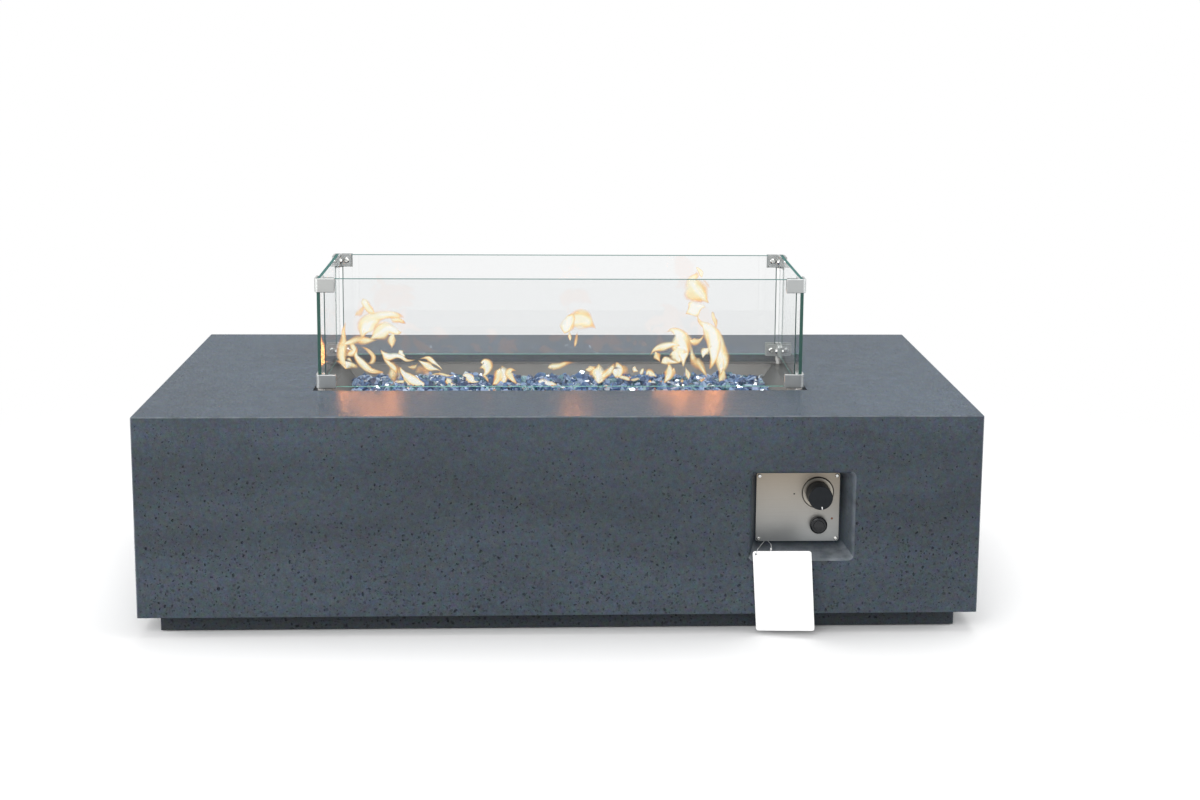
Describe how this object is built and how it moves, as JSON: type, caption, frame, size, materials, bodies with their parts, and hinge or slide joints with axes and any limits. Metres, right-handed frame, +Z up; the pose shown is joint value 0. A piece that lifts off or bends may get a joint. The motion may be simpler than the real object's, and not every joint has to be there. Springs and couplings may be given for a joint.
{
  "type": "fire pit table",
  "caption": "Low rectangular concrete fire table with a gas burner under fire glass, a lift-off glass wind guard, a control plate and a hang tag.",
  "frame": {"origin": "on the ground, under the middle of the concrete block", "axes": "+X along the table to the side with the controls, -Y to the front with the control recess, +Z up"},
  "size_m": [1.42, 0.7363, 0.5776],
  "materials": {
    "concrete": "cast concrete, light honed, open pits",
    "plinth_concrete": "cast concrete, dark",
    "zinc_steel": "zinc plated",
    "pad_rubber": "matt",
    "gasket_fibre": "woven glass fibre",
    "pan_steel": "stainless, heat tinted",
    "burner_steel": "stainless, heat tinted",
    "brass": "machined",
    "white_ceramic": "glazed",
    "fire_glass": "broken tempered chips",
    "plate_steel": "fine brushed",
    "screw_steel": "bright",
    "knob_plastic": "satin black",
    "pointer_white": "filled paint",
    "bezel_chrome": "polished",
    "igniter_plastic": "gloss black",
    "spring_steel": "drawn wire",
    "battery_skin": "satin",
    "gas_pipe": "satin tube",
    "copper": "drawn copper",
    "wire_insulation": "silicone sleeve",
    "clamp_screw_steel": "bright",
    "liner_silicone": "clear grey silicone",
    "clip_nickel": "satin nickel",
    "tag_card": "coated card",
    "tag_line": "clear nylon",
    "pane_glass": "tempered, ground edges"
  },
  "bodies": {
    "fire_table": {"concrete_shell": "concrete", "base_plinth": "plinth_concrete", "plinth_bolts": "zinc_steel", "foot_pads": "pad_rubber", "tray_gasket": "gasket_fibre", "burner_pan": "pan_steel", "burner": "burner_steel", "burner_nipple": "zinc_steel", "burner_locknuts": "zinc_steel", "burner_stands": "burner_steel", "air_mixer": "brass", "gas_orifice": "brass", "sensor_hood": "burner_steel", "thermocouple_probe": "burner_steel", "spark_insulator": "white_ceramic", "spark_electrode": "burner_steel", "wire_grommets": "pad_rubber", "fire_glass": "fire_glass", "control_plate": "plate_steel", "plate_screws": "screw_steel", "plate_inserts": "brass", "valve_body": "brass", "valve_screws": "screw_steel", "knob_bezel": "bezel_chrome", "igniter_housing": "igniter_plastic", "igniter_locknut": "igniter_plastic", "igniter_spring": "spring_steel", "igniter_battery": "battery_skin", "inlet_mounting_plate": "zinc_steel", "inlet_screws": "screw_steel", "gas_inlet_fitting": "brass", "inlet_locknut": "brass", "burner_pipe": "gas_pipe", "inlet_pipe": "gas_pipe", "flare_nuts": "brass", "thermocouple_lead": "copper", "ignition_wire": "wire_insulation"},
    "glass_guard": {"glass_pane_front": "pane_glass", "glass_pane_rear": "pane_glass", "glass_pane_left": "pane_glass", "glass_pane_right": "pane_glass", "clip_lower_front_left": "clip_nickel", "clip_lower_front_right": "clip_nickel", "clip_lower_rear_left": "clip_nickel", "clip_lower_rear_right": "clip_nickel", "clip_upper_front_left": "clip_nickel", "clip_upper_front_right": "clip_nickel", "clip_upper_rear_left": "clip_nickel", "clip_upper_rear_right": "clip_nickel", "clamp_screws": "clamp_screw_steel", "clip_liners": "liner_silicone", "guard_feet": "clip_nickel"},
    "valve_plug": {"valve_plug": "brass"},
    "control_knob": {"control_knob": "knob_plastic", "valve_stem": "screw_steel", "knob_pointer": "pointer_white"},
    "igniter_button": {"igniter_push_button": "igniter_plastic"},
    "hang_tag": {"hang_tag": "tag_card", "tag_string": "tag_line", "tag_ferrule": "tag_line"}
  },
  "joints": [
    {"name": "guard_lift", "type": "slide", "parent": "fire_table", "child": "glass_guard", "axis": [0, 0, 1], "range_m": [0, 0.12]},
    {"name": "knob_turn", "type": "hinge", "parent": "fire_table", "child": "valve_plug", "pos_m": [0.439, -0.3, 0.232], "axis": [0, 1, 0], "range_deg": [0, 188]},
    {"name": "knob_push", "type": "slide", "parent": "valve_plug", "child": "control_knob", "axis": [0, 1, 0], "range_m": [0, 0.003], "stiffness_N_per_m": 3000, "springref_m": -0.001},
    {"name": "igniter_press", "type": "slide", "parent": "fire_table", "child": "igniter_button", "axis": [0, 1, 0], "range_m": [0, 0.003], "stiffness_N_per_m": 1500, "springref_m": -0.002, "deforming": ["igniter_spring"]},
    {"name": "tag_swing", "type": "hinge", "parent": "fire_table", "child": "hang_tag", "pos_m": [0.3515, -0.3016, 0.1454], "axis": [-1, 0, 0], "range_deg": [0, 35]}
  ]
}
